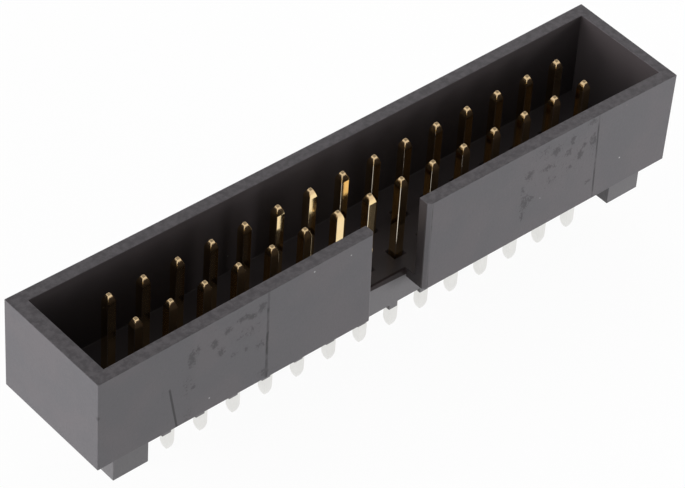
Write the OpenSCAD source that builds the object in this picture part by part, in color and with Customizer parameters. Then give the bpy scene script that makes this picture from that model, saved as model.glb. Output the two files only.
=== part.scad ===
// Straight box header for board and cable connectors: a shrouded moulding with one polarising
// slot, and two rows of square pressed-in contacts that are soldered through the board.
// Millimetres. The origin is the centre of the contact grid on the board's surface, +X runs along
// the rows, the slot opens towards -Y, and +Z points out of the mating side.

/* [Contacts] */
// Columns of contacts, with one contact in each row
columns = 15; // [3:1:25]
// Distance between neighbouring columns
pitch = 2.54; // [2.4:0.02:3]
// Distance between the two rows
row_pitch = 2.54; // [2.4:0.02:2.8]
// Side of the square contact wire
wire = 0.64; // [0.5:0.02:0.76]
// Distance from the rim down to the contact tips
tip_drop = 0.1; // [0:0.05:1]
// Length of the tails below the board's upper surface
tail_len = 3.2; // [2.5:0.05:5]
// Length of the nose at the mating end
tip_nose = 0.55; // [0.4:0.05:0.9]
// Width of the blunt end of the mating nose
tip_flat = 0.2; // [0.1:0.02:0.4]
// Radius of the curved faces of the mating nose
tip_arc = 1.6; // [1.2:0.1:6]
// Length of the nose at the tail end
tail_nose = 0.7; // [0.5:0.05:1.2]
// Width of the blunt end of the tail nose
tail_flat = 0.3; // [0.1:0.02:0.4]
// Radius of the curved faces of the tail nose
tail_arc = 1.6; // [1.2:0.1:6]

/* [Shroud] */
// Depth of the cavity from the rim to its floor
cavity_depth = 6.2; // [5:0.1:8]
// Width of the cavity between the side walls
cavity_w = 7.12; // [6:0.02:8]
// Distance from the last contact column to the cavity's end
end_room = 4.2; // [3.4:0.02:6]
// Thickness of the two long side walls
side_wall = 0.89; // [0.6:0.01:1.2]
// Thickness of the two end walls
end_wall = 0.94; // [0.6:0.02:1.4]
// Thickness of the cavity floor between the walls and the base
floor_t = 0.69; // [0.5:0.01:1.2]
// Width of the polarising slot
slot_w = 4.2; // [3.6:0.1:5]
// Width of the chamfer down each outer edge of the slot
slot_chamfer = 0.22; // [0.1:0.02:0.4]

/* [Base] */
// Height of the walls' lower edge above the board
wall_lift = 2.21; // [1.4:0.01:3]
// Width of the base block that holds the contacts
base_w = 5.6; // [4.6:0.1:6]
// Depth of the air channels between the standoff ribs
channel_h = 0.4; // [0.2:0.05:0.8]
// Width of a standoff rib
rib_w = 0.68; // [0.4:0.02:1]
// Length of an end foot along the header
foot_l = 2.6; // [1.5:0.1:3]
// Width of an end foot across the header
foot_w = 7.7; // [6.6:0.02:8.4]
// Distance from the end wall's outer face in to the end foot
foot_inset = 1.6; // [0.6:0.1:2]

/* [Fits] */
// Gap between a contact and each wall of its hole
press_gap = 0.01; // [0.005:0.005:0.04]
// Width of a hole's lead-in where it opens into the cavity
lead_w = 0.96; // [0.86:0.02:1.2]
// Depth of a hole's lead-in
lead_h = 0.4; // [0.2:0.05:0.6]

/* [Hidden] */
$fn = 96;
overcut = 1;
span = (columns - 1) * pitch;
cavity_l = span + 2 * end_room;
body_l = cavity_l + 2 * end_wall;
body_w = cavity_w + 2 * side_wall;
floor_z = wall_lift + floor_t;
rim_z = floor_z + cavity_depth;
tip_z = rim_z - tip_drop;
base_l = body_l - 2 * foot_inset;
foot_x = base_l / 2 - foot_l / 2;
hole_w = wire + 2 * press_gap;
plastic = [0.16, 0.16, 0.17];
gold = [0.83, 0.68, 0.35];

// Contacts count along both rows together: odd numbers at the slotted side, even ones behind.
contacts = 2 * columns;
function contact_name(n) = str("contact_", n < 10 ? "0" : "", n);
function column_x(n) = floor((n - 1) / 2) * pitch - span / 2;
function row_y(n) = (n % 2 == 1 ? -1 : 1) * row_pitch / 2;
function rib_x(i) = (i + 0.5) * pitch - span / 2;

// A box centred over a point, from height z0 up to height z1.
module block(l, w, z0, z1) {
    translate([-l / 2, -w / 2, z0]) cube([l, w, z1 - z0]);
}

// Carries its children to the place of each contact.
module at_contacts() {
    for (n = [1 : contacts]) translate([column_x(n), row_y(n), 0]) children();
}

// Stands an outline up and keeps what it shares with the same outline turned a quarter turn.
module squared(depth) {
    intersection_for(turn = [0, 90]) {
        rotate([90, 0, turn]) linear_extrude(depth, center = true) children();
    }
}

// Side outline of a nose: two arcs that run in from the wire's sides to the ends of a blunt tip.
// Each arc's centre lies square to the middle of its chord, on the far side of the wire.
module nose_outline(length, tip_w, arc_r) {
    step_in = (wire - tip_w) / 2;
    chord = norm([step_in, length]);
    reach = sqrt(arc_r * arc_r - chord * chord / 4);
    centre = [(wire + tip_w) / 4 - reach * length / chord, length / 2 - reach * step_in / chord];
    intersection() {
        translate([-wire / 2, 0]) square([wire, length]);
        translate(centre) circle(arc_r);
        mirror([1, 0]) translate(centre) circle(arc_r);
    }
}

module nose(length, tip_w, arc_r) {
    squared(2 * wire) nose_outline(length, tip_w, arc_r);
}

// One contact: square wire with a short nose to mate and a longer one to enter the board.
module contact(n) {
    color(gold) translate([column_x(n), row_y(n), 0]) {
        block(wire, wire, tail_nose - tail_len, tip_z - tip_nose);
        translate([0, 0, tip_z - tip_nose]) nose(tip_nose, tip_flat, tip_arc);
        translate([0, 0, tail_nose - tail_len]) mirror([0, 0, 1]) nose(tail_nose, tail_flat, tail_arc);
    }
}

// The hole for one contact, with a funnel that guides the wire in from the cavity.
module contact_hole() {
    block(hole_w, hole_w, -overcut, floor_z);
    translate([0, 0, floor_z - lead_h]) squared(2 * lead_w) polygon([
        [-hole_w / 2, 0], [hole_w / 2, 0], [lead_w / 2, lead_h], [lead_w / 2, lead_h + overcut],
        [-lead_w / 2, lead_h + overcut], [-lead_w / 2, lead_h]
    ]);
}

// Four walls and the floor between them, hung above the board.
module shroud() {
    difference() {
        block(body_l, body_w, wall_lift, rim_z);
        block(cavity_l, cavity_w, floor_z, rim_z + overcut);
    }
}

// The base that grips the contacts, with air channels below it at every column.
module base() {
    block(base_l, base_w, channel_h, floor_z);
    for (i = [0 : columns - 2]) translate([rib_x(i), 0, 0]) block(rib_w, base_w, 0, channel_h);
    for (side = [-1, 1]) translate([side * foot_x, 0, 0]) block(foot_l, foot_w, 0, floor_z);
}

// The slot runs through the front wall and the floor's edge, back to the base's front face, and
// flares out where it meets the wall's outer face.
module slot() {
    half = slot_w / 2;
    face = body_w / 2;
    flare = slot_chamfer + overcut;
    translate([0, 0, wall_lift - overcut]) linear_extrude(rim_z - wall_lift + 2 * overcut) polygon([
        [-half, -base_w / 2], [-half, slot_chamfer - face], [-half - flare, -face - overcut],
        [half + flare, -face - overcut], [half, slot_chamfer - face], [half, -base_w / 2]
    ]);
}

module housing() {
    color(plastic) difference() {
        union() {
            shroud();
            base();
        }
        slot();
        at_contacts() contact_hole();
    }
}

housing();
for (n = [1 : contacts]) {
    contact(n);
}
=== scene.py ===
# %% [markdown]
# # A box header, dressed around its solids
# A box header is the socket's other half on a circuit board: a black moulded tray with one slot in
# its long wall, and two rows of square metal contacts standing in it. The solids come packed from
# CAD and stay where they are. This script gives them the edges, finishes and light of the real thing.
# Everything is in metres, in the frame of the part: +X along the rows, the slot towards -Y, +Z up.

# %% Load the solids
import math

import bmesh
import bpy
import numpy as np
from mathutils import Matrix, Vector


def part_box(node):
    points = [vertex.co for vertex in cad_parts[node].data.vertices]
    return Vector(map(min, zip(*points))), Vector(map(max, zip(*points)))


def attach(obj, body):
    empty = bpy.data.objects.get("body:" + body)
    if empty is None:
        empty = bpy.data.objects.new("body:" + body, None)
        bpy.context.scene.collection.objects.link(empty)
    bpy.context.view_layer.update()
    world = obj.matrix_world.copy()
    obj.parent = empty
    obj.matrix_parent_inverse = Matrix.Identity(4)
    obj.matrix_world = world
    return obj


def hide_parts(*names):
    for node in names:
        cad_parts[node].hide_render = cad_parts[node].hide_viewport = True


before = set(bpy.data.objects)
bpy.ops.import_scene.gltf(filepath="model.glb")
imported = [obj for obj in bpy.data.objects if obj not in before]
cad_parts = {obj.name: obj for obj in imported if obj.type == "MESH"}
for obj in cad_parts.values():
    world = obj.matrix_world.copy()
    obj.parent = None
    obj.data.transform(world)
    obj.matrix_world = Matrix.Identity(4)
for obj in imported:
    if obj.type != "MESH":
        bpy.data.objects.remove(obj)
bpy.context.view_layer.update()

MM = 0.001

# %% [markdown]
# ## The sizes that the finishes need
# The outer sizes are read from the solids, so they can't drift from them. The few inner ones, such
# as the cavity and the end foot, repeat the design's own numbers. All of them are in millimetres,
# because that is how a maker thinks of a connector.

# %% Sizes in millimetres
_, housing_high = (np.array(corner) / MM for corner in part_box("housing"))
contact_low, contact_high = (np.array(corner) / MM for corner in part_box("contact_01"))
BODY_X, BODY_Y, RIM = housing_high.tolist()
TIP, TAIL = float(contact_high[2]), float(contact_low[2])
WIRE = float(contact_high[0] - contact_low[0])
COLUMNS, PITCH, ROW_PITCH = 15, 2.54, 2.54
END_WALL, SIDE_WALL = 0.94, 0.89
CAVITY_X, CAVITY_Y = BODY_X - END_WALL, BODY_Y - SIDE_WALL
FLOOR_Z, WALL_FOOT = 2.9, 2.21
SLOT_X, BASE_Y = 2.1, 2.8
FOOT_INSET, FOOT_LENGTH, FOOT_Y = 1.6, 2.6, 3.85
FOOT_X = BODY_X - FOOT_INSET - FOOT_LENGTH
print("rim", round(RIM, 2), "tips", round(TIP, 2), "tails", round(TAIL, 2), "wire", round(WIRE, 2))

# %% [markdown]
# ## The camera
# A long lens looks down on the header from its near left corner, the way a catalogue shows it. The
# camera stands at a place and looks at a point; a few degrees of roll about its own axis finish it.
# Building the camera's three axes from those is clearer than three angles of rotation.

# %% Make the camera
CAMERA_PLACE = Vector((-105.50, -111.67, 143.56)) * MM
LOOKED_AT = Vector((0.31, 1.155, 3.0)) * MM
ROLL = math.radians(4.094)
LENS, SENSOR = 178.03, 36.0
NEAREST_SEEN, FARTHEST_SEEN = 0.01, 20

back = (CAMERA_PLACE - LOOKED_AT).normalized()
level_right = Vector((0, 0, 1)).cross(back).normalized()
level_up = back.cross(level_right)
right = level_right * math.cos(ROLL) + level_up * math.sin(ROLL)
up = back.cross(right)
camera_data = bpy.data.cameras.new("camera")
camera_data.lens, camera_data.sensor_width = LENS, SENSOR
camera_data.clip_start, camera_data.clip_end = NEAREST_SEEN, FARTHEST_SEEN
camera = bpy.data.objects.new("camera", camera_data)
camera.matrix_world = Matrix.Translation(CAMERA_PLACE) @ Matrix((right, up, back)).transposed().to_4x4()
bpy.context.scene.collection.objects.link(camera)
bpy.context.scene.camera = camera
bpy.context.scene.view_settings.view_transform = "Standard"
print("camera", round((CAMERA_PLACE - LOOKED_AT).length / MM, 1), "mm away")

# %% [markdown]
# ## Shader maths as plain Python
# A finish is a small formula of place: a mask for the cavity, a grain, a scratch. Wiring Math nodes
# by hand hides the formula, so one class wraps a socket and turns +, -, * and / into nodes, and one
# method makes any other node from its type, its settings and its sockets. Edges, stripes, noise and
# shaders are short methods on top of that one.

# %% A value that changes over the surface
class Value:
    """A number that changes over the surface: arithmetic on it adds Math nodes to its graph."""

    def __init__(self, graph, socket):
        self.graph, self.socket = graph, socket

    def math(self, operation, first, second=0.0):
        return self.graph.node("ShaderNodeMath", {"operation": operation}, {0: first, 1: second})

    def __add__(self, other): return self.math("ADD", self, other)
    def __sub__(self, other): return self.math("SUBTRACT", self, other)
    def __rsub__(self, other): return self.math("SUBTRACT", other, self)
    def __mul__(self, other): return self.math("MULTIPLY", self, other)
    def __truediv__(self, other): return self.math("DIVIDE", self, other)
    def __abs__(self): return self.math("ABSOLUTE", self)
    def at_least(self, other): return self.math("MAXIMUM", self, other)
    def at_most(self, other): return self.math("MINIMUM", self, other)
    __radd__, __rmul__ = __add__, __mul__


print("a value can:", [name for name in vars(Value) if callable(getattr(Value, name))])

# %% The graph that the values live in
class Graph:
    """The nodes of one material or world."""

    def __init__(self, owner):
        owner.use_nodes = True
        self.tree = owner.node_tree
        self.tree.nodes.clear()

    def node(self, kind, settings=None, sockets=None, out=0):
        """Adds a node: its settings first, since they decide its sockets, then values or links."""
        made = self.tree.nodes.new(kind)
        for key, setting in (settings or {}).items():
            setattr(made, key, setting)
        for key, given in (sockets or {}).items():
            if isinstance(given, Value):
                self.tree.links.new(given.socket, made.inputs[key])
            else:
                made.inputs[key].default_value = given
        return Value(self, made.outputs[out]) if made.outputs else None

    def vector(self, operation, first, second=(0, 0, 0), out=0):
        """Arithmetic on a place or a direction: a Math node would keep only one of its numbers."""
        return self.node("ShaderNodeVectorMath", {"operation": operation}, {0: first, 1: second}, out)

    def split(self, vector):
        made = self.node("ShaderNodeSeparateXYZ", None, {0: vector}).socket.node
        return [Value(self, output) for output in made.outputs]

    def place_mm(self):
        """The surface point in millimetres: Object coordinates, which no modifier moves."""
        coordinates = self.node("ShaderNodeTexCoord", out="Object")
        return self.node("ShaderNodeVectorMath", {"operation": "SCALE"}, {0: coordinates, "Scale": 1 / MM})

    def above(self, value, edge, soft):
        """0 below the edge and 1 above it, with a smooth step as wide as twice soft."""
        if isinstance(edge, Value):
            value, edge = value - edge, 0.0
        return self.node("ShaderNodeMapRange", {"interpolation_type": "SMOOTHSTEP"},
                         {"Value": value, "From Min": edge - soft, "From Max": edge + soft})

    def below(self, value, edge, soft):
        return 1 - self.above(value, edge, soft)

    def within(self, value, reach, soft):
        """1 where the value lies no further than reach from zero, on either side."""
        return self.below(abs(value), reach, soft)

    def between(self, value, low, high, soft):
        return self.above(value, low, soft) * self.below(value, high, soft)

    def line(self, value, middle, half, soft):
        """A stripe about a middle: 1 up to half its width away, and 0 further out."""
        return self.between(value, middle - half, middle + half, soft)

    def noise(self, place, per_mm, detail=2.0, rough=0.5, stretch=None):
        """Smooth noise from 0 to 1 with about per_mm swells in a millimetre."""
        if stretch:
            place = self.vector("MULTIPLY", place, stretch)
        return self.node("ShaderNodeTexNoise", None,
                         {"Vector": place, "Scale": per_mm, "Detail": detail, "Roughness": rough})

    def mix_colour(self, factor, first, second):
        """A Mix node keeps its two colours in sockets 6 and 7, and gives the mixed one from output 2."""
        return self.node("ShaderNodeMix", {"data_type": "RGBA"}, {0: factor, 6: first, 7: second}, out=2)

    def bump(self, height_mm):
        """Tilts the normal as if the surface rose by height, given in millimetres."""
        return self.node("ShaderNodeBump", None, {"Height": height_mm, "Strength": 1.0, "Distance": MM})

    def principled(self, sockets):
        return self.node("ShaderNodeBsdfPrincipled", None, sockets)

    def mix_shader(self, factor, first, second):
        return self.node("ShaderNodeMixShader", None, {0: factor, 1: first, 2: second})

    def surface(self, shader, kind="ShaderNodeOutputMaterial"):
        self.node(kind, None, {"Surface": shader})


def new_material(name):
    material = bpy.data.materials.new(name)
    return material, Graph(material)


print("a graph can:", [name for name in vars(Graph) if not name.startswith("_")])

# %% [markdown]
# ## The housing's surface
# The real housing is one shot of black plastic, and no moulded edge is perfectly sharp. Its form could
# be worked out again as a surface, but the CAD solid already has it, only with sharp edges. So a copy
# of its mesh is merged, its flat regions are joined into whole faces, and a Bevel modifier rounds
# every edge by a few hundredths of a millimetre. The copy is also cut into strips along its length,
# because a flat wall with corners only at its ends can't bend.

# %% Copy, join and cut the housing
MERGE_MM, FLAT_WITHIN = 0.0005, math.radians(0.5)
ON_CUT_MM, CUTS_EACH_WAY = 0.0001, 8


def joined_copy(node_name):
    """A copy of a CAD mesh: doubles merged, then triangles in one plane joined into whole faces."""
    shape = bmesh.new()
    shape.from_mesh(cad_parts[node_name].data)
    bmesh.ops.remove_doubles(shape, verts=shape.verts, dist=MERGE_MM * MM)
    bmesh.ops.dissolve_limit(shape, angle_limit=FLAT_WITHIN, verts=shape.verts, edges=shape.edges)
    return shape


def cut_across(shape, x_mm):
    """Splits all edges and faces that cross a plane square to X."""
    everything = shape.verts[:] + shape.edges[:] + shape.faces[:]
    bmesh.ops.bisect_plane(shape, geom=everything, dist=ON_CUT_MM * MM,
                           plane_co=(x_mm * MM, 0, 0), plane_no=(1, 0, 0))


housing_shape = joined_copy("housing")
for cut in range(-CUTS_EACH_WAY, CUTS_EACH_WAY):
    cut_across(housing_shape, (cut + 0.5) * PITCH)
open_edges = sum(not edge.is_manifold for edge in housing_shape.edges)
print("housing faces:", len(housing_shape.faces), "open edges:", open_edges)

# %% [markdown]
# ## As moulded, not as drawn
# Thin walls cool unevenly. Both long walls lean in a little at the rim, and the slotted one leans most
# beside the slot, where nothing ties it. The core sat a tenth of a millimetre off centre, the right
# end face is out of square, the foot under it is nearer the middle, and the underside isn't level. A
# Lattice or Simple Deform modifier could bend the part, but each of these is one short formula of
# place, so numpy moves all the points at once. None of them makes the part larger.

# %% How far the real one is from straight
LEAN_LEFT, LEAN_RIGHT, LEAN_BACK = 0.24, 0.17, 0.12
ASKEW_LOW, ASKEW_LESS = 0.26, 0.16  # at the wall's foot, and how much less at the rim
CORE_SHIFT = 0.12
FOOT_OUTER_IN, FOOT_INNER_IN = 0.11, 0.17
UNDER_SLOPE, UNDER_DROP, UNDER_Z = 0.0065, 0.02, 0.5
NEAR = 0.05  # a point this close to a face's plane is on the face


def wall_lean(x, y, height):
    """How far a wall leans in: lean x bend x height, where height is 0 at the wall's foot and 1 at the
    rim. Reach runs from 0 at an end wall to 1 at the slot's edge. The slotted wall's left half bends
    evenly with reach, its right half by 1 - (1 - reach) cubed, and the back wall by 1 less the square
    of the place along it."""
    reach = np.clip((CAVITY_X - np.abs(x)) / (CAVITY_X - SLOT_X), 0, 1)
    front = np.where(x < 0, LEAN_LEFT * reach, LEAN_RIGHT * (1 - (1 - reach) ** 3))
    rear = -LEAN_BACK * np.clip(1 - (x / CAVITY_X) ** 2, 0, 1)
    return np.where(y < 0, front, rear) * height * (np.abs(y) > CAVITY_Y - NEAR)


def as_moulded(points):
    """Moves points of the straight part, in millimetres. Y changes by the walls' lean. X changes on
    three things: the right end face comes in by an amount that falls evenly from foot to rim and from
    front to back, the cavity's two ends shift together, and the right foot's outer and inner faces
    each come in. Z changes on the underside alone, by slope times x less a drop."""
    x, y, z = points.T
    height = np.clip((z - WALL_FOOT) / (RIM - WALL_FOOT), 0, 1)
    to_front = 0.5 - y / (2 * BODY_Y)
    end_face = (x > BODY_X - NEAR) * (z > WALL_FOOT - NEAR)
    askew = -(ASKEW_LOW - ASKEW_LESS * height) * to_front * end_face
    in_cavity = (np.abs(y) < CAVITY_Y + NEAR) * (z > FLOOR_Z - NEAR)
    core = CORE_SHIFT * (np.abs(np.abs(x) - CAVITY_X) < NEAR) * in_cavity
    on_foot = (x > FOOT_X - NEAR) * (z < WALL_FOOT + NEAR) * (np.abs(y) < FOOT_Y + NEAR)
    foot = -np.where(x > FOOT_X + FOOT_LENGTH / 2, FOOT_OUTER_IN, FOOT_INNER_IN) * on_foot
    under = (UNDER_SLOPE * x - UNDER_DROP) * (z < UNDER_Z)
    return np.column_stack([x + askew + foot + core, y + wall_lean(x, y, height), z + under])


print("housing leans in by up to", LEAN_LEFT, "mm")

# %% Make the housing
EDGE_ROUND, EDGE_STEPS, SHARP_FROM = 0.05, 2, math.radians(25)


def mesh_object(name, mesh):
    piece = bpy.data.objects.new(name, mesh)
    bpy.context.scene.collection.objects.link(piece)
    return piece


housing_mesh = bpy.data.meshes.new("housing_moulding")
housing_shape.to_mesh(housing_mesh)
housing_shape.free()
flat = np.empty(len(housing_mesh.vertices) * 3)
housing_mesh.vertices.foreach_get("co", flat)
housing_mesh.vertices.foreach_set("co", (as_moulded(flat.reshape(-1, 3) / MM) * MM).ravel())
housing_mesh.update()
housing = mesh_object("housing_moulding", housing_mesh)
rounding = housing.modifiers.new("edge_round", "BEVEL")
rounding.width, rounding.segments = EDGE_ROUND * MM, EDGE_STEPS
rounding.limit_method, rounding.angle_limit = "ANGLE", SHARP_FROM
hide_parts("housing")
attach(housing, "root")
print("housing points:", len(housing_mesh.vertices), "edges rounded by", EDGE_ROUND, "mm")

# %% [markdown]
# ## The contacts' surface
# Each contact is drawn square wire with slightly rounded corners, cut off with a coined nose at both
# ends. A bevelled box would give the wire but not the arcs of the nose, so it is a profile carried
# along a straight path: a rounded square whose half width follows an arc over each nose. Rounded
# corners matter more than they seem, since in a dark tray the thin bright line that runs down a
# contact is the light caught by its corner.

# %% The profile of a nose
BLUNT_ROUND, CREASE = 0.10, 0.01
TIP_NOSE, TIP_FLAT, TIP_ARC = 0.55, 0.2, 1.6
TAIL_NOSE, TAIL_FLAT, TAIL_ARC = 0.7, 0.3, 1.6


def nose_profile(length, blunt, arc, rows=8, round_rows=6):
    """Half width, height above the shoulder and tilt of the normal, from the shoulder to the top. The
    side is an arc of a circle through the shoulder and the blunt end's edge, and a smaller circle,
    which touches the arc inside and the top plane below, rounds the edge off. On both circles a
    point lies at centre + radius x (cos tilt, sin tilt). A first ring just below the shoulder keeps
    the wire's own level normal, so the shoulder stays a crease."""
    step_in = (WIRE - blunt) / 2
    chord = math.hypot(step_in, length)
    reach = math.sqrt(arc ** 2 - chord ** 2 / 4)
    centre_w = (WIRE + blunt) / 4 - reach * length / chord
    centre_h = length / 2 - reach * step_in / chord
    round_h = length - BLUNT_ROUND
    round_w = centre_w + math.sqrt((arc - BLUNT_ROUND) ** 2 - (round_h - centre_h) ** 2)
    touch = math.atan2(round_h - centre_h, round_w - centre_w)
    side_tilt = np.linspace(math.asin(-centre_h / arc), touch, rows)
    round_tilt = np.linspace(touch, math.pi / 2, round_rows)[1:]
    half = [[WIRE / 2], centre_w + arc * np.cos(side_tilt), round_w + BLUNT_ROUND * np.cos(round_tilt)]
    height = [[-CREASE], centre_h + arc * np.sin(side_tilt), round_h + BLUNT_ROUND * np.sin(round_tilt)]
    tilt = [[0], side_tilt, round_tilt]
    return np.concatenate(height), np.concatenate(half), np.concatenate(tilt)


tip_height, tip_half, tip_tilt = nose_profile(TIP_NOSE, TIP_FLAT, TIP_ARC)
tail_height, tail_half, tail_tilt = nose_profile(TAIL_NOSE, TAIL_FLAT, TAIL_ARC)
wire_height = np.concatenate([TAIL + TAIL_NOSE - tail_height[::-1], TIP - TIP_NOSE + tip_height])
wire_half = np.concatenate([tail_half[::-1], tip_half])
wire_tilt = np.concatenate([-tail_tilt[::-1], tip_tilt])
print("profile rows:", len(wire_height), "over", round(wire_height[-1] - wire_height[0], 2), "mm")

# %% One rounded square, carried up the wire
CORNER, CORNER_SHARE = 0.05, 0.45


def wire_rings(height, half, tilt, per_corner=5):
    """Rounded squares, one for each height: four quarter circles about the corners' centres. Where a
    quarter circle ends, its normal is the flat side's own, so the sides shade flat. On the nose a
    corner takes no more than its share of the half width."""
    corner = np.minimum(CORNER, half * CORNER_SHARE)
    quarters = 90 * np.arange(4)
    turn = np.radians((quarters[:, None] + np.linspace(0, 90, per_corner)).ravel())
    middle = np.repeat(np.radians(45 + quarters), per_corner)
    side = np.sign(np.column_stack([np.cos(middle), np.sin(middle)]))
    arms = np.column_stack([np.cos(turn), np.sin(turn)])
    flat_points = (half - corner)[:, None, None] * side + corner[:, None, None] * arms
    levels = np.broadcast_to(height[:, None, None], flat_points.shape[:2] + (1,))
    level_normals = np.broadcast_to(arms, flat_points.shape) * np.cos(tilt)[:, None, None]
    rises = np.broadcast_to(np.sin(tilt)[:, None, None], levels.shape)
    points = np.concatenate([flat_points, levels], axis=2)
    return points, np.concatenate([level_normals, rises], axis=2)


def tube_faces(rings, around):
    """Quads between neighbouring rings, and a fan of triangles that closes each end."""
    here = np.arange(around)
    after = (here + 1) % around
    rows = np.arange(rings - 1)[:, None] * around
    quads = np.stack([rows + here, rows + after, rows + around + after, rows + around + here], axis=2)
    bottom, top, last = rings * around, rings * around + 1, (rings - 1) * around
    low_fan = np.column_stack([after, here, np.full(around, bottom)])
    high_fan = np.column_stack([last + here, last + after, np.full(around, top)])
    return quads.reshape(-1, 4).tolist() + low_fan.tolist() + high_fan.tolist()


rings, ring_normals = wire_rings(wire_height, wire_half, wire_tilt)
wire_points = np.concatenate([rings.reshape(-1, 3), [[0, 0, TAIL], [0, 0, TIP]]])
wire_normals = np.concatenate([ring_normals.reshape(-1, 3), [[0, 0, -1], [0, 0, 1]]])
wire_faces = tube_faces(len(wire_height), rings.shape[1])
print("one contact:", len(wire_points), "points,", len(wire_faces), "faces")

# %% Stand all the contacts in their holes
contacts = []
for number in range(1, 2 * COLUMNS + 1):
    column, back_row = divmod(number - 1, 2)
    stand = np.array([(column - (COLUMNS - 1) / 2) * PITCH, (back_row - 0.5) * ROW_PITCH, 0])
    name = f"contact_{number:02d}"
    mesh = bpy.data.meshes.new(name + "_wire")
    mesh.from_pydata(((wire_points + stand) * MM).tolist(), [], wire_faces)
    mesh.polygons.foreach_set("use_smooth", np.ones(len(mesh.polygons), bool))
    mesh.normals_split_custom_set_from_vertices(wire_normals.tolist())
    contact = mesh_object(name + "_wire", mesh)
    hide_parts(name)
    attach(contact, "root")
    contacts.append(contact)
print("contacts:", len(contacts))

# %% [markdown]
# ## Black plastic: matte outside, polished inside
# A mould for such a part has two finishes. The outside is spark-eroded, which prints a fine even
# grain on the plastic and makes it look grey. The core that forms the cavity and the slot is
# polished, so it can slide out, and polished black plastic looks nearly black and mirrors what is
# around it. Faces could be given to two materials, but the base's front is matte and polished on one
# face, so one material holds both, with a mask that is 1 where the core has touched. The masks reach
# some way into the walls, where nothing shows, so that a leaning wall stays covered.

# %% Where the polished core touched the plastic
CRISP, SOFT = 0.01, 0.02
INTO_WALL, RIM_EDGE = 0.3, 0.03
HOLE_DEPTH, FACE_CLEAR = 1.0, 0.1
SHUT_OFF, SHUT_OFF_SLOPE = 2.51, 0.055


def core_mask(graph, x, y, z):
    """Three masks: 1 on the cavity's walls, floor and holes, 1 on the slot's sides, and 1 on the
    base's front behind the slot, down to the line where the core shut against the outer mould."""
    below_rim = graph.below(z, RIM - RIM_EDGE, CRISP)
    along = graph.within(x, CAVITY_X + INTO_WALL, SOFT)
    inside = (along * below_rim * graph.within(y, CAVITY_Y + INTO_WALL, SOFT)
              * graph.above(z, FLOOR_Z - 0.06, CRISP))
    holes = (along * below_rim * graph.within(y, BASE_Y - 0.1, SOFT)
             * graph.above(z, FLOOR_Z - HOLE_DEPTH, 0.1))
    slot_side = (graph.between(abs(x), SLOT_X - 0.02, SLOT_X + 0.03, 0.008)
                 * graph.between(y, -BODY_Y + FACE_CLEAR, -BASE_Y - 0.04, CRISP) * below_rim)
    behind = graph.within(x, SLOT_X + 0.01, CRISP) * graph.between(y, -BASE_Y - 0.06, -BASE_Y + 0.15, CRISP)
    behind *= graph.above(z, SHUT_OFF - x * SHUT_OFF_SLOPE, 0.05) * graph.below(z, FLOOR_Z + 0.02, CRISP)
    return inside.at_least(holes), slot_side, behind


plastic, graph = new_material("black_plastic")
place = graph.place_mm()
x, y, z = graph.split(place)
cavity, slot_side, behind = core_mask(graph, x, y, z)
print("core mask nodes:", len(graph.tree.nodes))

# %% [markdown]
# ## Scuffs on the slotted wall
# Nothing made by the million is perfect. Two patches of the slotted wall are scuffed with small dark
# flecks. Each fleck could be drawn, but wear is cloudy where it is light and dense where it is hard,
# so it is fine noise that shows only inside a few dozen soft ellipses, each placed where the wear is.

# %% The scuffs
SCUFFS = [  # x, z, half width, half height, strength
    (-16.1, 7.1, 0.34, 0.75, 1.6), (-15.6, 7.6, 0.25, 0.45, 1.2), (-14.4, 7.3, 0.34, 0.38, 1.7),
    (-13.9, 6.4, 0.30, 0.40, 1.6), (-13.4, 7.8, 0.40, 0.30, 1.5), (-12.2, 8.1, 0.60, 0.25, 1.6),
    (-11.5, 7.8, 0.40, 0.25, 1.6), (-11.9, 6.8, 1.10, 0.55, 0.8), (-10.8, 8.2, 0.45, 0.40, 1.6),
    (-12.9, 5.6, 0.30, 0.20, 1.1), (-12.0, 5.5, 0.20, 0.30, 1.1), (-10.9, 5.2, 0.45, 0.40, 1.0),
    (-16.4, 5.2, 0.50, 1.20, 0.75), (-15.9, 4.8, 0.20, 0.20, 1.1), (-10.6, 2.8, 0.45, 0.45, 1.2),
    (-16.3, 2.8, 0.40, 0.60, 0.7), (-18.2, 5.5, 0.12, 0.40, 1.0), (10.5, 7.1, 0.40, 0.45, 1.4),
    (10.0, 6.1, 0.18, 0.35, 1.2), (10.25, 5.0, 0.40, 0.75, 1.5), (10.8, 5.1, 0.25, 0.20, 1.3),
    (10.1, 3.9, 0.20, 0.35, 1.3), (12.0, 6.9, 0.60, 0.25, 1.0), (12.4, 5.7, 0.45, 0.50, 0.8),
    (12.7, 7.9, 0.35, 0.30, 1.4), (11.6, 8.4, 1.40, 0.60, 0.6), (14.05, 8.1, 0.20, 0.45, 1.4),
    (13.8, 7.3, 0.30, 0.25, 1.0), (14.8, 6.6, 0.25, 0.40, 1.4), (15.1, 7.2, 0.20, 0.20, 1.3),
    (14.0, 6.0, 0.35, 0.20, 1.0), (15.9, 7.2, 0.30, 0.70, 1.4), (15.7, 8.8, 0.50, 0.25, 1.3),
    (15.7, 3.9, 0.45, 0.20, 1.2), (13.6, 7.0, 2.40, 1.80, 0.35)]
FLECK_CUT, FLECK_SOFT, FLECK_DARK = 0.71, 0.07, 0.50
HAZE_MOST, HAZE_DARK = 1.4, 0.05


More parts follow.
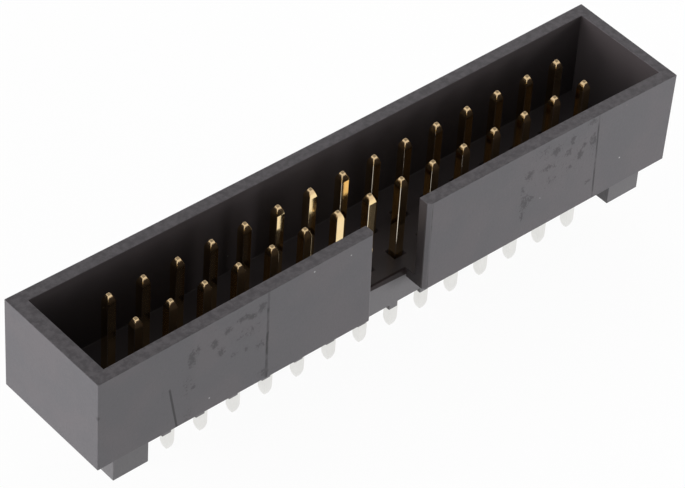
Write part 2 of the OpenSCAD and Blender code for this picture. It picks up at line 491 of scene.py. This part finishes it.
def scuffed(graph, place):
    """Soft ellipses added up, then cut by fine noise into flecks: a fleck shows where a fifth of the
    sum, plus the noise, passes the cut. A faint even haze lies under the flecks."""
    total = 0.0
    for at_x, at_z, half_x, half_z, strength in SCUFFS:
        apart = graph.vector("SUBTRACT", place, (at_x, 0, at_z))
        scaled = graph.vector("MULTIPLY", apart, (1 / half_x, 0, 1 / half_z))
        far = graph.vector("LENGTH", scaled, out="Value")
        total = graph.below(far, 0.85, 0.75) * strength + total
    flecks = graph.noise(place, 5.2, detail=3.0, rough=0.75)
    flecks = graph.above(total * 0.20 + flecks, FLECK_CUT, FLECK_SOFT)
    return flecks * FLECK_DARK + total.at_most(HAZE_MOST) * HAZE_DARK


scuffs = scuffed(graph, place)
print("scuffs:", len(SCUFFS), "nodes:", len(graph.tree.nodes))

# %% [markdown]
# ## Lines on the slotted wall
# Two fine upright lines show where inserts meet in the mould, one short dark line slants up from the
# wall's foot, a fourth runs down beside the slot's flare, and the near corner has a nick. They could
# be cut into the mesh, but they are far thinner than the wall's own edges, so each is a stripe in a
# formula of x and z. A slow noise makes the inserts' lines waver, and another makes them patchy.

# %% The lines
INSERT_LEFT, INSERT_RIGHT, RIGHT_FROM_Z, RIGHT_SLOPE = -10.37, 16.27, 5.5, 0.022
SLANT_X, SLANT_SLOPE, SLANT_TOP = -16.745, 0.174, 5.6
FLARE_LINE_X, FLARE_LINE_SLOPE = SLOT_X + 0.28, 0.004
NICK, NICK_SIZE = (-BODY_X, -BODY_Y, 6.42), 0.14

front = (graph.below(y, -BODY_Y + 0.42, 0.04) * graph.below(z, RIM - 0.05, 0.03)
         * graph.above(z, WALL_FOOT - 0.21, SOFT))
patchy = 0.35 + graph.above(graph.noise(place, 0.8), 0.5, 0.1) * 0.65
waver = (graph.noise(place, 1.1) - 0.5) * 0.12
left_line = graph.line(x + waver, INSERT_LEFT, 0.09, 0.04) * 1.2
right_line = graph.line((z - RIGHT_FROM_Z) * RIGHT_SLOPE + x + waver * 0.6, INSERT_RIGHT, 0.06, 0.06)
flare_line = graph.line(x - z * FLARE_LINE_SLOPE, FLARE_LINE_X, 0.03, 0.035)
mould_lines = left_line.at_least(right_line).at_least(flare_line) * patchy * 0.9
slant = graph.line(x + z * SLANT_SLOPE, SLANT_X, 0.075, 0.03) * graph.below(z, SLANT_TOP, 0.12)
nick = graph.below(graph.vector("DISTANCE", place, NICK, out="Value"), NICK_SIZE, 0.07)
dark = (front * scuffs.at_least(mould_lines).at_least(slant * 0.85)).at_least(nick * 0.55)
print("marks added, nodes:", len(graph.tree.nodes))

# %% [markdown]
# ## The matte plastic
# The matte grain is fine noise in the bump, with broad faint clouds in the colour, as flow leaves
# them. The feet and the base's front are painted a paler grey: painted light, for the light that the
# white floor throws up on them. The rim is darker and mottled, its darkness partly painted shade on
# the upward faces. Pale specks of dust finish it. One flat grey would be simpler, but plastic shows its
# making in just such small changes.

# %% The matte colours
MATTE, MATTE_WARM = (0.090, 0.0865, 0.0935, 1), (0.098, 0.0910, 0.0975, 1)
# the feet's and the base front's paler greys are painted light, for the light the white floor throws up on
# them
FEET_GREY_PAINTED_LIT, BASE_GREY_PAINTED_LIT = (0.118, 0.114, 0.119, 1), (0.146, 0.141, 0.147, 1)
# the rim's darker grey is partly painted shade on the upward faces and partly its mottled grain
RIM_DARK_GRAIN_AND_SHADE, RIM_PALE = (0.060, 0.0545, 0.0590, 1), (0.098, 0.0895, 0.0960, 1)
MARK, DUST = (0.018, 0.0165, 0.018, 1), (0.45, 0.45, 0.45, 1)
END_CLEAR = 1.3

cloud = graph.noise(place, 0.3)
specks = graph.node("ShaderNodeTexVoronoi", {"feature": "F1"},
                    {"Vector": place, "Scale": 0.8, "Randomness": 1.0})
dust = graph.below(specks, 0.045, 0.02) * graph.above(graph.noise(place, 0.6, detail=1.0), 0.56, 0.01)
underneath = graph.below(z, WALL_FOOT + 0.6, CRISP)
feet = underneath * graph.below(z, WALL_FOOT - 0.04, CRISP) * graph.above(abs(y), BASE_Y + 0.1, SOFT)
base_front = underneath * graph.within(y, BASE_Y + 0.1, SOFT) * graph.within(x, BODY_X - END_CLEAR, SOFT)
rim = graph.above(z, RIM - RIM_EDGE, CRISP)
mottle = graph.noise(place, 2.2, detail=3.0, rough=0.7)
speckle = (graph.noise(place, 5.0, rough=0.7) - 0.5) * 0.5

matte = graph.mix_colour(graph.above(cloud, 0.5, 0.12), MATTE, MATTE_WARM)
# painted light: the feet and the base's front are made paler
matte = graph.mix_colour(feet, matte, FEET_GREY_PAINTED_LIT)
matte = graph.mix_colour(base_front, matte, BASE_GREY_PAINTED_LIT)
matte = graph.mix_colour(rim, matte, graph.mix_colour(graph.above(mottle, 0.5, 0.16), RIM_DARK_GRAIN_AND_SHADE, RIM_PALE))
matte = graph.mix_colour(dark + 0.08 - speckle * 0.35, matte, MARK)
matte = graph.mix_colour(dust * 0.8, matte, DUST)
print("matte colours added, nodes:", len(graph.tree.nodes))

# %% [markdown]
# ## Three shaders in one plastic
# A polished face needs its own weaker mirror, and that can't be varied over one Principled shader. So
# there are three, matte, polished, and dull for the strip of the base's front that the core touched,
# and they meet in Mix Shaders whose factors are the core's masks. The dull strip's near-black colour
# and very weak mirror are partly its finish and partly painted shade, for the shaded floor near the
# part that it mirrors.

# %% The plastic
POLISHED, POLISHED_PALE = (0.048, 0.0415, 0.0430, 1), (0.053, 0.0450, 0.0465, 1)
# the slot's sides are painted a darker black than the other polished faces: painted shade inside the narrow
# slot
SLOT_BLACK_PAINTED_SHADE, DUST_INSIDE, DULL_BLACK_PAINTED_SHADE = (0.038, 0.033, 0.034, 1), (0.3, 0.3, 0.3, 1), (0.024, 0.018, 0.018, 1)

grain = graph.noise(place, 7.0, detail=3.0, rough=0.65)
matte_shader = graph.principled({
    "Base Color": matte, "Roughness": 0.58 + (grain - 0.5) * 0.16,
    "Normal": graph.bump((grain - 0.5) * 0.010 - dark * 0.006)})
polished = graph.mix_colour(cloud, POLISHED, POLISHED_PALE)
# painted shade: the slot's sides are made darker
polished = graph.mix_colour(slot_side, polished, SLOT_BLACK_PAINTED_SHADE)
polished = graph.mix_colour(dust * 0.5, polished, DUST_INSIDE)
polished_shader = graph.principled({
    "Base Color": polished, "Roughness": 0.26 + (grain - 0.5) * 0.06, "Specular IOR Level": 0.18,
    "Normal": graph.bump((grain - 0.5) * 0.0006)})
# partly painted shade: near-black and a very weak mirror, for the shaded floor that this strip mirrors
dull_painted_shade_shader = graph.principled({"Base Color": DULL_BLACK_PAINTED_SHADE, "Roughness": 0.3, "Specular IOR Level": 0.05})
shaded = graph.mix_shader(cavity.at_least(slot_side), matte_shader, polished_shader)
graph.surface(graph.mix_shader(behind, shaded, dull_painted_shade_shader))
housing.data.materials.clear()
housing.data.materials.append(plastic)
print("plastic nodes:", len(graph.tree.nodes))

# %% [markdown]
# ## Gold above, tin below
# The wire is plated twice: gold over the mating end, where it must not tarnish, and tin over the
# tail, where solder has to flow. The change is hidden inside the base, so height alone picks the metal,
# and two materials on one wire aren't needed. The corners of the wire are painted paler than its sides,
# a painted highlight for the light that the corners catch, and the coined nose is painted a browner,
# darker gold, painted shade that dims the white wall it mirrors. Lines drawn along the wire are noise
# stretched upwards, kept faint because the gold is nearly a mirror.

# %% The colours of the plating
GOLD, GOLD_PALE = (0.90, 0.66, 0.33, 1), (0.94, 0.74, 0.43, 1)
# the near-white corner colour is a painted highlight, for the light that the corners catch
# the nose's browner, darker gold is painted shade, dimming the white wall that it mirrors
CORNER_PAINTED_HIGHLIGHT, NOSE_GOLD_PAINTED_SHADE = (0.97, 0.90, 0.80, 1), (0.70, 0.51, 0.29, 1)
TIN, TIN_PALE = (0.76, 0.755, 0.73, 1), (0.84, 0.835, 0.815, 1)
GOLD_FROM_Z, COINED_BELOW_TIP = 1.0, 0.28

plating, graph = new_material("plated_wire")
place = graph.place_mm()
x, y, z = graph.split(place)
gilt = graph.above(z, GOLD_FROM_Z, 0.3)
coined = graph.above(z, TIP - COINED_BELOW_TIP, 0.12)
swell = graph.noise(place, 1.6)
column_at = graph.node("ShaderNodeMath", {"operation": "ROUND"}, {0: x / PITCH}) * PITCH
from_column, from_row = abs(x - column_at), abs(abs(y) - ROW_PITCH / 2)
on_corner = graph.above(from_column.at_most(from_row), WIRE / 2 - CORNER + 0.015, 0.01) * (1 - coined)
gold = graph.mix_colour(swell, GOLD, GOLD_PALE)
# painted highlight: the wire's corners are made paler
gold = graph.mix_colour(on_corner * 0.8, gold, CORNER_PAINTED_HIGHLIGHT)
# painted shade: the nose's gold is made browner and darker
gold = graph.mix_colour(coined, gold, NOSE_GOLD_PAINTED_SHADE)
tin = graph.mix_colour(swell, TIN, TIN_PALE)
print("plating colours added, nodes:", len(graph.tree.nodes))

# %% The plated wire
ROUGH_TIN, SMOOTHER_GOLD, ROUGHER_NOSE = 0.30, 0.23, 0.06

drawn = graph.noise(place, 14.0, stretch=(1, 1, 0.06))
graph.surface(graph.principled({
    "Base Color": graph.mix_colour(gilt, tin, gold), "Metallic": 1.0,
    "Roughness": (ROUGH_TIN - gilt * SMOOTHER_GOLD + coined * ROUGHER_NOSE) + (drawn - 0.5) * 0.04,
    "Normal": graph.bump((drawn - 0.5) * 0.0002 + (swell - 0.5) * 0.002)}))
for contact in contacts:
    contact.data.materials.append(plating)
print("plating nodes:", len(graph.tree.nodes))

# %% [markdown]
# ## A white floor
# The header stands on its tails on white board. A very bright lamp could burn the board out to white,
# but it would burn the part as well. So the floor's own colour makes the white: seen by the camera or
# in a reflection it is an even white, and a small share of plain diffuse keeps the shadow.

# %% The floor
FLOOR_SIZE, FLOOR_GREY, EVEN_WHITE = 1.2, (0.9, 0.9, 0.9, 1), 0.95


def seen_directly(graph):
    """1 for rays from the camera, from a reflection and through glass, and 0 for all others."""
    rays = graph.node("ShaderNodeLightPath").socket.node.outputs
    seen = Value(graph, rays["Is Camera Ray"])
    for kind in ("Is Glossy Ray", "Is Transmission Ray"):
        seen = seen.at_least(Value(graph, rays[kind]))
    return seen


corners = np.array([[-1, -1], [1, -1], [1, 1], [-1, 1]]) * FLOOR_SIZE / 2
floor_mesh = bpy.data.meshes.new("floor")
floor_mesh.from_pydata(np.column_stack([corners, np.full(4, TAIL * MM)]).tolist(), [], [[0, 1, 2, 3]])
floor = mesh_object("floor", floor_mesh)
floor_paint, graph = new_material("white_board")
board = graph.node("ShaderNodeBsdfDiffuse", None, {"Color": FLOOR_GREY})
white = graph.node("ShaderNodeEmission", None, {"Color": (1, 1, 1, 1), "Strength": 1.0})
graph.surface(graph.mix_shader(seen_directly(graph) * EVEN_WHITE, board, white))
floor_mesh.materials.append(floor_paint)
print("floor at", round(TAIL, 2), "mm, with", len(graph.tree.nodes), "nodes")

# %% [markdown]
# ## The room and its lamps
# The room is white walls up to about 24 degrees above the floor and a grey ceiling beyond. Upright
# faces mirror floor and wall, so they come out lighter than the rim, which mirrors the ceiling, and
# a polished nose shows the white wall as one bright arch. The lamps give light but no mirror image:
# real softboxes would do both, and then each small nose would carry a glaring square.

# %% The room
WALL_LIGHT, CEILING_LIGHT = (1.0, 1.0, 1.0, 1), (0.35, 0.35, 0.35, 1)
CEILING_RISE, CEILING_SOFT = 0.40, 0.12

world = bpy.data.worlds.new("room")
bpy.context.scene.world = world
graph = Graph(world)
_, _, rise = graph.split(graph.node("ShaderNodeTexCoord", out="Generated"))
room_colour = graph.mix_colour(graph.above(rise, CEILING_RISE, CEILING_SOFT), WALL_LIGHT, CEILING_LIGHT)
graph.surface(graph.node("ShaderNodeBackground", None, {"Color": room_colour, "Strength": 1.0}),
              "ShaderNodeOutputWorld")
print("ceiling from", round(math.degrees(math.asin(CEILING_RISE))), "degrees up")

# %% The lamps
def softbox(name, direction, distance, size, level):
    """A square lamp that faces the header. Level is how bright it alone makes a white card that
    faces it: power = level x pi squared x distance squared."""
    lamp = bpy.data.lights.new(name, "AREA")
    lamp.size, lamp.energy = size, level * math.pi ** 2 * distance ** 2
    place = Vector(direction).normalized() * distance
    stand = bpy.data.objects.new(name, lamp)
    stand.matrix_world = Matrix.Translation(place) @ place.to_track_quat("Z", "Y").to_matrix().to_4x4()
    stand.visible_glossy = False
    bpy.context.scene.collection.objects.link(stand)


softbox("left_softbox", direction=(-1.0, 0.25, 0.09), distance=0.7, size=0.60, level=2.15)
softbox("right_lamp", direction=(85, -84, 11), distance=0.120, size=0.05, level=0.69)
softbox("top_lamp", direction=(44, 37, 70), distance=0.091, size=0.05, level=0.20)


print("pieces dressed:", 1 + len(contacts))
